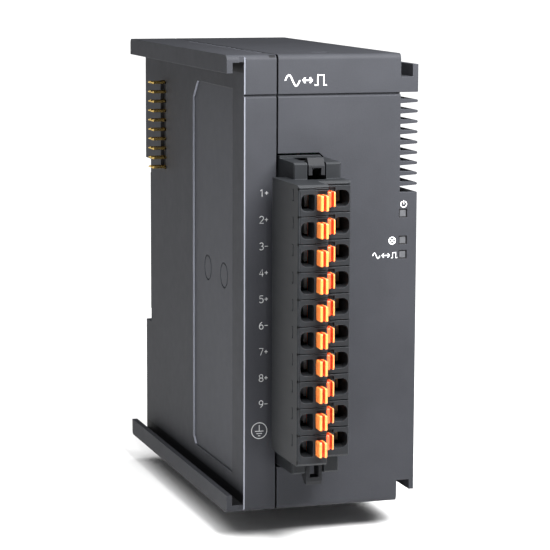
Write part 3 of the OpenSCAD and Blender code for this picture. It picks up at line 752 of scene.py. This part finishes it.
class BuildClampSprings(bpy.types.Operator):
    """Form the twenty clamp springs"""

    bl_idname = "module.build_clamp_springs"
    bl_label = "Build clamp springs"

    def execute(self, context):
        s = context.scene.module_metal
        steel = drawn_metal("leaf_steel", s.steel, rough=0.3, streaks=(3.0, 0.4, 3.0))
        for column, front in COLUMN_FRONT.items():
            for number in range(1, ROWS + 1):
                low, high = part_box(f"{column}_pusher_{number}")
                z = ((low.z + high.z) / 2 - CORNER.z) / MM - PUSHER_LIFT
                name = f"clamp_spring_{column}_{number}"
                leaf = add_piece(name, clamp_leaf(column, z), steel.material, "plug")
                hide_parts("clamp_springs")
                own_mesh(leaf)
        return {"FINISHED"}


class FinishElectronics(bpy.types.Operator):
    """Give boards, components and bus connectors their finishes"""

    bl_idname = "module.finish_electronics"
    bl_label = "Finish electronics"

    def execute(self, context):
        green = (0.02, 0.16, 0.07)
        dress(["power_board", "main_board"], circuit_board("side_board_mask", green, 0))
        dress(["front_board"], circuit_board("front_board_mask", green, 1))
        black = (0.012, 0.012, 0.013)
        compound = moulded("chip_compound", black, grain_per_mm=6.0, grain_depth=0.004, rough=0.6)
        dress(["power_converter", "isolators", "processor_chips"], compound)
        dress(["board_connectors", "bus_socket"], satin("connector_black", black))
        dress(["bus_pin_carrier"], satin("carrier_black", (0.02, 0.02, 0.022), wear=0.5))
        aluminium = (0.55, 0.57, 0.6)
        can = drawn_metal("capacitor_can", aluminium, rough=0.35, streaks=(0.2, 3.0, 3.0), tarnish=0.1)
        dress(["capacitors"], can)
        return {"FINISHED"}


class BuildStatusLights(bpy.types.Operator):
    """Finish the light guide and frame each of its three windows"""

    bl_idname = "module.build_status_lights"
    bl_label = "Build status lights"

    def execute(self, context):
        guide = Finish("frosted_guide", Specular_IOR_Level=0.4, IOR=1.49)
        cloud = guide.noise(2.5, 3.0)
        guide.drive("Base Color", guide.blend(cloud, (0.035, 0.036, 0.04, 1), (0.075, 0.077, 0.083, 1)))
        guide.drive("Roughness", 0.35 + cloud * 0.15)
        guide.relief(cloud, 0.01, guide.round_edges(0.12)[0])
        dress(["light_guide"], guide)
        chip = Finish("pale_chip", Specular_IOR_Level=0.5)
        glow = chip.cells(1.2).ramp(0.1, 0.5)
        chip.drive("Base Color", chip.blend(glow, (0.85, 0.75, 0.3, 1), (0.8, 0.8, 0.78, 1)))
        chip.drive("Roughness", 0.3 + glow * 0.2)
        dress(["status_leds"], chip)
        frame_black = satin("window_frame", (0.004, 0.004, 0.005), rough=0.5, wear=0.1, specular=0.2)
        for number, z in enumerate(LIGHT_Z, 1):
            mesh = window_frame(LIGHT_X, z, outer=1.74, inner=1.1, deep=1.4)
            add_piece(f"window_frame_{number}", mesh, frame_black.material, "housing")
        return {"FINISHED"}


def window_frame(x, z, outer, inner, deep):
    """A square tube with a funnelled mouth, lining one light window."""
    bm = bmesh.new()
    rings = []
    rim, mouth_deep = 0.02, 0.3
    section = ((outer / 2, rim), (outer / 2, deep), (inner / 2, deep), (inner / 2, mouth_deep),
               (outer / 2 - 0.06, rim))
    for half, y in section:
        rings.append([bm.verts.new(place(x + sx * half, y, z + sz * half))
                      for sx, sz in ((-1, -1), (1, -1), (1, 1), (-1, 1))])
    for first, second in zip(rings, rings[1:] + rings[:1]):
        for i in range(4):
            bm.faces.new((first[i], first[(i + 1) % 4], second[(i + 1) % 4], second[i]))
    return mesh_of(bm)


NUMBER_X, FIRST_NUMBER_Z, NUMBER_STEP = 3.1, 61.85, 5.1
SIGN_X, SIGN_HALF = 4.475, 0.33
POWER_X, POWER_Z = 32.3, 58.85
FAULT_X, FAULT_Z, FAULT_HALF = 30.0, 51.8, 0.38
SIGNAL_Z = 48.95
TITLE_Z = 83.1
EARTH_X, EARTH_Z = 3.15, 15.86


class PrintMarks(bpy.types.Operator):
    """Print the terminal numbers, light symbols, function symbol and earth symbol"""

    bl_idname = "module.print_marks"
    bl_label = "Print marks"

    def execute(self, context):
        s = context.scene.module_print
        material = ink("white_ink", s.ink).material
        dull = ink("grey_ink", colour(s.ink, 0.45)).material
        height = s.digit / MM
        stroke = s.stroke / MM
        numbers = []
        for row in range(ROWS - 1):
            middle = FIRST_NUMBER_Z - NUMBER_STEP * row
            numbers += placed_strokes(DIGITS[row + 1], NUMBER_X, middle - height / 2, height)
            numbers.append([(SIGN_X - 0.325, middle), (SIGN_X + 0.325, middle)])
            if row % 3 != 2:
                numbers.append([(SIGN_X, middle - SIGN_HALF), (SIGN_X, middle + SIGN_HALF)])
        print_marks("terminal_numbers", numbers, stroke, dull)
        lights = [arc(POWER_X, POWER_Z, 0.6, 0.6, 120, 420, 20)]
        lights += [[(POWER_X, POWER_Z), (POWER_X, POWER_Z + 0.75)]]
        left, right = FAULT_X - FAULT_HALF, FAULT_X + FAULT_HALF
        low, high = FAULT_Z - FAULT_HALF, FAULT_Z + FAULT_HALF
        lights += [arc(FAULT_X, FAULT_Z, 0.68, 0.68, 0, 360, 20)]
        lights += [[(left, low), (right, high)], [(left, high), (right, low)]]
        lights += wave(26.0, SIGNAL_Z, 1.5, 1.1) + double_arrow(27.9, SIGNAL_Z, 1.6, 0.4)
        lights += pulse(29.8, SIGNAL_Z, 1.3, 1.0)
        print_marks("light_symbols", lights, stroke * 1.1, material)
        title = wave(8.1, TITLE_Z, 2.9, 2.1) + double_arrow(11.6, TITLE_Z, 1.9, 0.5)
        title += pulse(14.0, TITLE_Z, 2.4, 1.9)
        print_marks("function_symbol", title, stroke * 1.9, material)
        earth = [arc(EARTH_X, EARTH_Z, 1.55, 1.55, 0, 360, 28), [(EARTH_X, 16.95), (EARTH_X, 15.75)]]
        for half, z in ((0.85, 15.75), (0.55, 15.3), (0.25, 14.85)):
            earth.append([(EARTH_X - half, z), (EARTH_X + half, z)])
        print_marks("earth_symbol", earth, stroke, dull)
        return {"FINISHED"}


class BuildStudio(bpy.types.Operator):
    """Lay the pale floor, hang the soft lights and set the camera"""

    bl_idname = "module.build_studio"
    bl_label = "Build studio"

    def execute(self, context):
        s = context.scene.module_studio
        scene = context.scene
        scene.view_settings.view_transform = "Standard"
        floor_z = CAD_BOX[0][2] - 0.2 * MM
        bm = bmesh.new()
        bmesh.ops.create_grid(bm, x_segments=2, y_segments=2, size=20.0)
        bmesh.ops.translate(bm, verts=bm.verts, vec=(0.0, 3.0, floor_z))
        floor = bpy.data.objects.new("studio_floor", mesh_of(bm))
        f = Finish("floor_paper", Specular_IOR_Level=0.0, Roughness=0.9)
        f.drive("Base Color", f.blend(f.noise(0.02), colour(s.floor, 0.985), colour(s.floor)))
        floor.data.materials.append(f.material)
        scene.collection.objects.link(floor)
        scene.world = studio_world(s.sky)
        aim = place(BODY_W / 2, 0, 60)
        soft_box("key_light", place(40, -92, 152), aim, 0.11, s.key)
        soft_box("fill_light", place(-220, -170, 70), aim, 0.2, s.fill)
        overhead = bpy.data.lights.new("overhead_light", "SUN")
        overhead.energy = s.overhead
        overhead.angle = math.radians(80.0)
        lamp = bpy.data.objects.new("overhead_light", overhead)
        lamp.rotation_euler = Vector((-0.1, -0.3, 1.6)).to_track_quat("Z", "Y").to_euler()
        scene.collection.objects.link(lamp)
        camera_data = bpy.data.cameras.new("camera")
        camera_data.lens = s.focal
        camera_data.sensor_width = 36.0
        camera_data.clip_start = 0.01
        camera = bpy.data.objects.new("camera", camera_data)
        scene.collection.objects.link(camera)
        eye = place(-124.01, -412.51, 109.37)
        camera.matrix_world = camera_pose(yaw=17.521, pitch=8.329, roll=0.223, eye=eye)
        scene.camera = camera
        return {"FINISHED"}


def studio_world(strength):
    """A room that lights the module dimly and looks white above the floor."""
    world = bpy.data.worlds.new("studio_room")
    world.use_nodes = True
    room = NodeTree(world.node_tree)
    white = (1.0, 1.0, 1.0, 1.0)
    path = room.add("ShaderNodeLightPath")
    dim = room.add("ShaderNodeBackground", None, {"Color": white, "Strength": strength})
    seen = room.add("ShaderNodeBackground", None, {"Color": white, "Strength": 1.0})
    mix = room.add("ShaderNodeMixShader", None, {
        0: path.outputs["Is Camera Ray"], 1: dim.outputs[0], 2: seen.outputs[0]})
    room.fill(room.tree.nodes["World Output"].inputs["Surface"], mix.outputs[0])
    return world


def soft_box(name, where, aim, size, power):
    light = bpy.data.lights.new(name, "AREA")
    light.shape = "SQUARE"
    light.size = size
    light.energy = power
    lamp = bpy.data.objects.new(name, light)
    lamp.location = where
    lamp.rotation_euler = (aim - where).to_track_quat("-Z", "Y").to_euler()
    bpy.context.scene.collection.objects.link(lamp)


def camera_pose(yaw, pitch, roll, eye):
    """Camera matrix: yaw to the right of +Y, pitch down, and roll, in degrees."""
    yaw, pitch, roll = (math.radians(a) for a in (yaw, pitch, roll))
    ahead = Vector((math.sin(yaw) * math.cos(pitch), math.cos(yaw) * math.cos(pitch), -math.sin(pitch)))
    level = Vector((math.cos(yaw), -math.sin(yaw), 0.0))
    over = level.cross(ahead)
    side = level * math.cos(roll) + over * math.sin(roll)
    up = over * math.cos(roll) - level * math.sin(roll)
    turn = Matrix((side, up, -ahead)).transposed().to_4x4()
    return Matrix.Translation(eye) @ turn


OPERATORS = (FinishHousing, FinishPlug, FinishLevers, FinishPushers, FinishMetals, BuildLatchSpring,
             BuildClampSprings, FinishElectronics, BuildStatusLights, PrintMarks, BuildStudio)


class ModulePanel(bpy.types.Panel):
    """Settings and steps of the module's looks"""

    bl_idname = "VIEW3D_PT_rail_module"
    bl_label = "Rail module"
    bl_space_type = "VIEW_3D"
    bl_region_type = "UI"
    bl_category = "Module"

    def draw(self, context):
        for group, settings in GROUPS.items():
            box = self.layout.box()
            box.label(text=settings.__doc__)
            for name in settings.__annotations__:
                box.prop(getattr(context.scene, group), name)
        for operator in OPERATORS:
            self.layout.operator(operator.bl_idname)


def register():
    for settings in GROUPS.values():
        bpy.utils.register_class(settings)
    for group, settings in GROUPS.items():
        setattr(bpy.types.Scene, group, PointerProperty(type=settings))
    for cls in OPERATORS + (ModulePanel,):
        bpy.utils.register_class(cls)


def unregister():
    for cls in reversed(OPERATORS + (ModulePanel,)):
        bpy.utils.unregister_class(cls)
    for group in GROUPS:
        delattr(bpy.types.Scene, group)
    for settings in GROUPS.values():
        bpy.utils.unregister_class(settings)


def main():
    register()
    bpy.ops.module.finish_housing()
    bpy.ops.module.finish_plug()
    bpy.ops.module.finish_levers()
    bpy.ops.module.finish_pushers()
    bpy.ops.module.finish_metals()
    bpy.ops.module.build_latch_spring()
    bpy.ops.module.build_clamp_springs()
    bpy.ops.module.finish_electronics()
    bpy.ops.module.build_status_lights()
    bpy.ops.module.print_marks()
    bpy.ops.module.build_studio()


if __name__ == "__main__":
    main()
